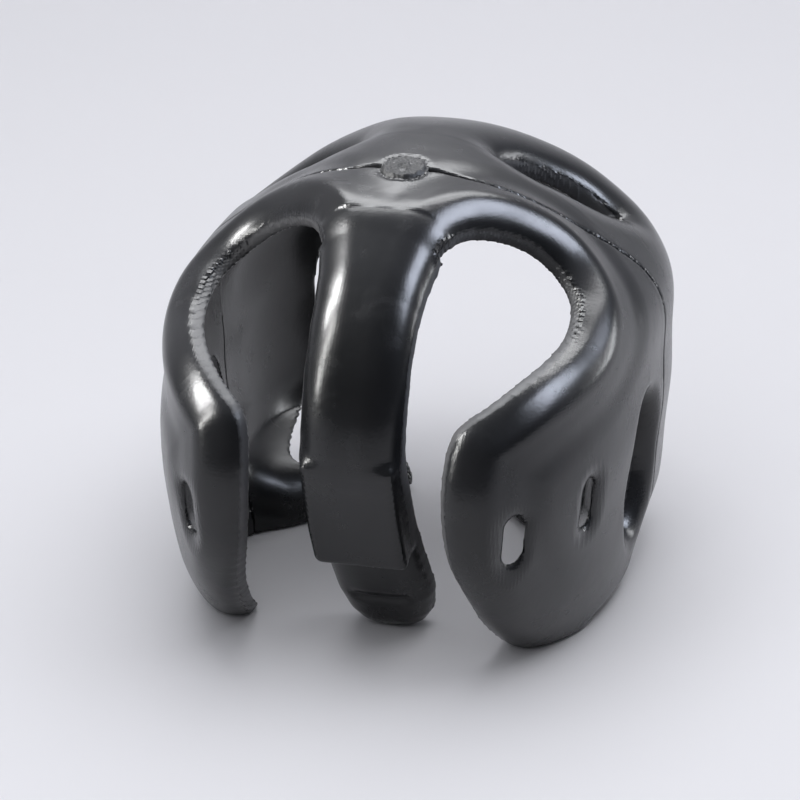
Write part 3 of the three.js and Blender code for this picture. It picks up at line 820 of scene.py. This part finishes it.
# ------------------------------------------------------------------ sprue plug
def plug():
    """Rough round scar set in the crown, closed below by a skirt and a cone."""
    rings, spokes = 26, 96
    angle = np.linspace(0, 2 * math.pi, spokes, endpoint=False)
    wobble = (1 + 0.035 * np.sin(3 * angle + 0.5) + 0.02 * np.sin(11 * angle)
              + 0.012 * np.sin(23 * angle + 1))
    ring = np.arange(rings + 1)[:, None]
    r = PLUG_RADIUS * (ring / rings) * np.where(ring > rings * 0.6, wobble, 1)
    x = (PLUG_X + r * np.cos(angle)).ravel()
    y = (PLUG_Y + r * np.sin(angle)).ravel()
    top, _ = lift(np.stack([x, y, 0 * x + 150], 1), [0, 0, 1], depth=0, far=70)
    dx, dy = x - PLUG_X, y - PLUG_Y
    radius, turn = np.hypot(dx, dy), np.arctan2(dy, dx)
    # a swirl, two scales of ripple, then one pimple and one pit
    bump = 0.35 * np.sin(radius * 1.1 - turn + 0.6) * bell(radius, 3.5, 3.2)
    bump += 0.22 * np.sin(dx * 2.3 + 1.3 * np.sin(dy * 1.1)) * np.cos(dy * 1.9 + dx * 0.4)
    bump += 0.16 * np.sin(dx * 5.1 + dy * 3.7) * np.sin(dy * 6.3 - dx * 1.7)
    bump += 0.75 * bell(np.hypot(dx - 2.2, dy + 2.6), 0, 1.3)
    bump -= 0.8 * bell(np.hypot(dx - 0.2, dy + 3.4), 0, 1.5)
    # the rim falls away behind an uneven raised ring
    rim = -1.3 * smooth((radius - 8.2) / 1.7)
    rim += 0.55 * bell(radius, 8.2, 0.8) * (0.6 + 0.4 * np.sin(9 * turn))
    upper = np.stack([x, y, top[:, 2] + 0.15 + bump + rim], 1)
    skirt = upper[rings * spokes:] - np.array([0, 0, PLUG_DEPTH])
    verts = np.concatenate([[upper[:spokes].mean(0)], upper[spokes:], skirt,
                            [[PLUG_X, PLUG_Y, skirt[:, 2].mean()]]])

    def at(i, j):
        return 1 + (i - 1) * spokes + j % spokes

    faces = []
    for j in range(spokes):
        faces.append([0, at(1, j), at(1, j + 1)])
        for i in range(1, rings):
            faces.append([at(i, j), at(i + 1, j), at(i + 1, j + 1), at(i, j + 1)])
    below = rings + 1
    for j in range(spokes):
        faces.append([at(rings, j), at(below, j), at(below, j + 1), at(rings, j + 1)])
        faces.append([at(below, j), len(verts) - 1, at(below, j + 1)])
    ob = make("gate_plug_cap", verts, faces)
    ob.data.polygons.foreach_set("use_smooth", np.ones(len(faces), bool))
    return ob


pieces["gate_plug_cap"] = plug()


# ------------------------------------------------------------------ materials
class Shader:
    """Short forms for the nodes the skin uses; an input takes a value or a socket."""

    def __init__(self, name):
        self.material = bpy.data.materials.new(name)
        self.material.use_nodes = True
        self.tree = self.material.node_tree
        self.tree.nodes.clear()
        self.place = self.node("TexCoord").outputs["Object"]

    def node(self, kind, inputs=None, **settings):
        node = self.tree.nodes.new("ShaderNode" + kind)
        for key, value in settings.items():
            setattr(node, key, value)
        for key, value in (inputs or {}).items():
            if isinstance(value, bpy.types.NodeSocket):
                self.tree.links.new(value, node.inputs[key])
            else:
                node.inputs[key].default_value = value
        return node

    def noise(self, scale, detail, roughness, distortion=0.0):
        return self.node("TexNoise", {"Scale": scale, "Detail": detail, "Roughness": roughness,
                                      "Distortion": distortion, "Vector": self.place}).outputs[0]

    def remap(self, value, start, end, low=0, high=1):
        return self.node("MapRange", {0: value, 1: start, 2: end, 3: low, 4: high}).outputs[0]

    def calc(self, operation, *values):
        return self.node("Math", dict(enumerate(values)), operation=operation).outputs[0]

    def mix(self, factor, a, b):
        return self.node("Mix", {0: factor, 6: a, 7: b}, data_type="RGBA").outputs[2]

    def bump(self, height, strength, distance, **below):
        return self.node("Bump", {"Strength": strength, "Distance": distance,
                                  "Height": height, **below}).outputs[0]


def skin_material(name, roughness, pebble_bump, leather_bump, edge_trim_and_highlight):
    s = Shader(name)
    patches = s.remap(s.noise(scale=18, detail=3, roughness=0.6), start=0.35, end=0.65)
    color = s.mix(patches, (0.0065, 0.0068, 0.0075, 1), (0.0105, 0.0108, 0.0122, 1))
    # faint handling haze: a little paler and duller
    haze = s.remap(s.noise(scale=55, detail=5, roughness=0.62, distortion=0.6),
                   start=0.56, end=0.74)
    color = s.mix(s.calc("MULTIPLY", haze, 0.16), color, (0.030, 0.030, 0.033, 1))
    uneven = s.remap(s.noise(scale=34, detail=5, roughness=0.65), start=0.3, end=0.7, low=-1)
    rough = s.calc("ADD", s.calc("MULTIPLY", uneven, 0.035), roughness)
    rough = s.calc("ADD", rough, s.calc("MULTIPLY", haze, 0.06))
    if edge_trim_and_highlight:
        # trimmed edges get a painted highlight, a paler line, and are rougher for the trim itself;
        # fine noise breaks the line up
        edge = s.node("Attribute", attribute_name="edge").outputs["Fac"]
        fine = s.calc("SUBTRACT", s.noise(scale=420, detail=3, roughness=0.7), 0.5)
        edge = s.calc("ADD", s.calc("ABSOLUTE", edge), s.calc("MULTIPLY", fine, 0.9))
        edge = s.remap(edge, start=0.75, end=0.25)
        # the paler colour mixed in here is a painted highlight along the trimmed edges
        color = s.mix(s.calc("MULTIPLY", edge, 0.55), color, (0.10, 0.10, 0.105, 1))
        rough = s.calc("ADD", rough, s.calc("MULTIPLY", edge, 0.2))
    # dust: specks at the centres of a few cells
    voronoi = s.node("TexVoronoi", {"Scale": 95, "Vector": s.place})
    speck = s.remap(voronoi.outputs["Distance"], start=0.022, end=0.012)
    pick = s.node("SeparateColor", {0: voronoi.outputs["Color"]}).outputs[0]
    dust = s.calc("MULTIPLY", speck, s.remap(pick, start=0.90, end=0.93))
    color = s.mix(s.calc("MULTIPLY", dust, 0.55), color, (0.35, 0.35, 0.36, 1))
    # grain: fine pebble, leather, and slow moulding waviness (distances in metres)
    grain = s.bump(s.noise(scale=1500, detail=2, roughness=0.5),
                   strength=pebble_bump, distance=0.00012)
    grain = s.bump(s.noise(scale=620, detail=4, roughness=0.55),
                   strength=leather_bump, distance=0.00025, Normal=grain)
    grain = s.bump(s.noise(scale=60, detail=2, roughness=0.5),
                   strength=0.10, distance=0.0012, Normal=grain)
    surface = s.node("BsdfPrincipled", {"Base Color": color, "Roughness": rough, "IOR": 1.47,
                                        "Specular IOR Level": 0.5, "Normal": grain})
    s.node("OutputMaterial", {0: surface.outputs[0]})
    return s.material


skin = skin_material("vinyl_skin", roughness=0.25, pebble_bump=0.16, leather_bump=0.16,
                     edge_trim_and_highlight=True)
scar = skin_material("vinyl_scar", roughness=0.5, pebble_bump=0.45, leather_bump=0.6,
                     edge_trim_and_highlight=False)
for name, ob in pieces.items():
    ob.data.materials.append(scar if name == "gate_plug_cap" else skin)

# ------------------------------------------------------------------ pieces that ride the shell; the flap and strip pieces stay in place; the CAD parts they stand for are hidden
for name in ("front_moulding", "crown_band", "gate_plug_cap"):
    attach(pieces[name], "shell")
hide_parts("front_outer_skin", "front_foam_core", "front_inner_skin")
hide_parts("crown_outer_skin", "crown_foam_core", "crown_inner_skin")
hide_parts("gate_plug")
for side, name in ((1, "right_flap"), (-1, "left_flap")):
    ob = pieces[name + "_shell"]
    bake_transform(ob)
    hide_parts(name + "_outer_skin", name + "_foam_core", name + "_inner_skin")
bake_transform(pieces["rear_strip_shell"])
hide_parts("strip_outer_skin", "strip_foam_core",
            "strip_inner_skin", "nape_pad")

# ------------------------------------------------------------------ stage, metres
AZIMUTH = math.radians(13.5)             # the whole set is turned by this about z
BEND_Y, BEND_RADIUS, BEND_STEPS = 0.9, 0.8, 12


def turned(v):
    c, s = math.cos(AZIMUTH), math.sin(AZIMUTH)
    return (v[0] * c - v[1] * s, v[0] * s + v[1] * c, v[2])


def sweep():
    """Floor that curves up into a backdrop."""
    profile = [(-3.2, 0.0), (BEND_Y, 0.0)]
    for i in range(1, BEND_STEPS + 1):
        t = i / BEND_STEPS * math.pi / 2
        profile.append((BEND_Y + BEND_RADIUS * math.sin(t), BEND_RADIUS * (1 - math.cos(t))))
    profile.append((BEND_Y + BEND_RADIUS, 3.2))
    n = len(profile)
    mesh = bpy.data.meshes.new("sweep")
    mesh.from_pydata([(x, y, z) for x in (-4.0, 4.0) for y, z in profile], [],
                     [(i, n + i, n + i + 1, i + 1) for i in range(n - 1)])
    mesh.update()
    mesh.polygons.foreach_set("use_smooth", np.ones(len(mesh.polygons), bool))
    ob = bpy.data.objects.new("floor", mesh)
    bpy.context.scene.collection.objects.link(ob)
    ob.rotation_euler = (0, 0, AZIMUTH)
    return ob


def floor_material():
    material = bpy.data.materials.new("pale_floor")
    material.use_nodes = True
    surface = material.node_tree.nodes["Principled BSDF"]
    surface.inputs["Base Color"].default_value = (0.77, 0.77, 0.80, 1)
    surface.inputs["Roughness"].default_value = 0.6
    return material


floor = sweep()
floor.data.materials.append(floor_material())


def light_group(name, members):
    group = bpy.data.collections.new(name)
    bpy.context.scene.collection.children.link(group)
    for ob in members:
        group.objects.link(ob)
    return group


def area(name, place, target, width, height, watts, color, receivers):
    light = bpy.data.lights.new(name, "AREA")
    light.shape = "RECTANGLE"
    light.size = width
    light.size_y = height
    light.energy = watts
    light.color = color
    ob = bpy.data.objects.new(name, light)
    bpy.context.scene.collection.objects.link(ob)
    ob.location = turned(place)
    aim = Vector(turned(target)) - Vector(turned(place))
    ob.rotation_euler = aim.to_track_quat("-Z", "Y").to_euler()
    ob.light_linking.receiver_collection = receivers


# The shaping lights fall on the guard only; two broad lights fall on the floor only
guard = light_group("guard_pieces", pieces.values())
ground = light_group("ground", [floor])
# name, place, target, width, height, watts, colour, receivers
LIGHTS = (
    ("top_soft", (0.10, 0.62, 1.05), (0, 0.05, 0.14), 1.15, 0.50, 14, (0.97, 0.98, 1.0), guard),
    ("left_key", (-0.95, -0.30, 0.62), (0, 0, 0.13), 0.14, 0.8, 11, (1, 1, 0.98), guard),
    ("left_high", (-0.80, 0.06, 0.86), (0, 0, 0.13), 0.16, 0.5, 15, (1, 1, 1), guard),
    ("right_soft", (0.80, -0.05, 0.84), (0, 0, 0.10), 0.40, 0.40, 9, (0.78, 0.85, 1.0), guard),
    ("right_edge", (1.0, 0.35, 0.30), (0, 0, 0.10), 0.12, 0.5, 2.5, (0.95, 0.97, 1.0), guard),
    ("floor_light", (0.35, 0.35, 1.9), (0, 0.15, 0), 2.6, 2.2, 31, (0.985, 0.985, 1.0), ground),
    ("floor_fill", (-0.5, -0.9, 1.6), (0, 0, 0), 2.2, 2.2, 19, (0.98, 0.98, 1.0), ground),
)
for light_row in LIGHTS:
    area(*light_row)


def studio_world():
    """Cool sky, brighter towards the backdrop."""
    bright_way = turned((0.0, 0.93, 0.36))
    world = bpy.data.worlds.new("studio")
    bpy.context.scene.world = world
    world.use_nodes = True
    nodes, links = world.node_tree.nodes, world.node_tree.links
    background = nodes["Background"]
    background.inputs[0].default_value = (0.90, 0.93, 1.0, 1)
    coords = nodes.new("ShaderNodeTexCoord")
    facing = nodes.new("ShaderNodeVectorMath")
    facing.operation = "DOT_PRODUCT"
    facing.inputs[1].default_value = bright_way
    links.new(coords.outputs["Generated"], facing.inputs[0])
    ramp = nodes.new("ShaderNodeMapRange")
    # facing from -0.2 to 0.5 gives strength 0.09 to 0.40
    for i, value in enumerate((-0.2, 0.5, 0.09, 0.40), 1):
        ramp.inputs[i].default_value = value
    links.new(facing.outputs["Value"], ramp.inputs[0])
    links.new(ramp.outputs[0], background.inputs[1])


studio_world()

# ------------------------------------------------------------------ camera, behind the guard
ELEVATION = math.radians(23)
CAMERA_DISTANCE = 1.280
CAMERA_LEFT, CAMERA_UP = 0.0076809036, 0.0614472291      # offsets across the line of sight
AIM_Z = 0.010

back = Vector((math.sin(AZIMUTH) * math.cos(ELEVATION),
               -math.cos(AZIMUTH) * math.cos(ELEVATION), math.sin(ELEVATION)))
right = Vector((math.cos(AZIMUTH), math.sin(AZIMUTH), 0))
lens = bpy.data.cameras.new("camera")
lens.sensor_width = 36.0
lens.lens = 127.485
lens.clip_start = 0.05
camera = bpy.data.objects.new("camera", lens)
bpy.context.scene.collection.objects.link(camera)
camera.location = (back * CAMERA_DISTANCE - right * CAMERA_LEFT + back.cross(right) * CAMERA_UP
                   + Vector((0, 0, AIM_Z)) + Vector(SHIFT))
camera.rotation_euler = (-back).to_track_quat("-Z", "Y").to_euler()
bpy.context.scene.camera = camera
bpy.context.scene.view_settings.view_transform = "Standard"
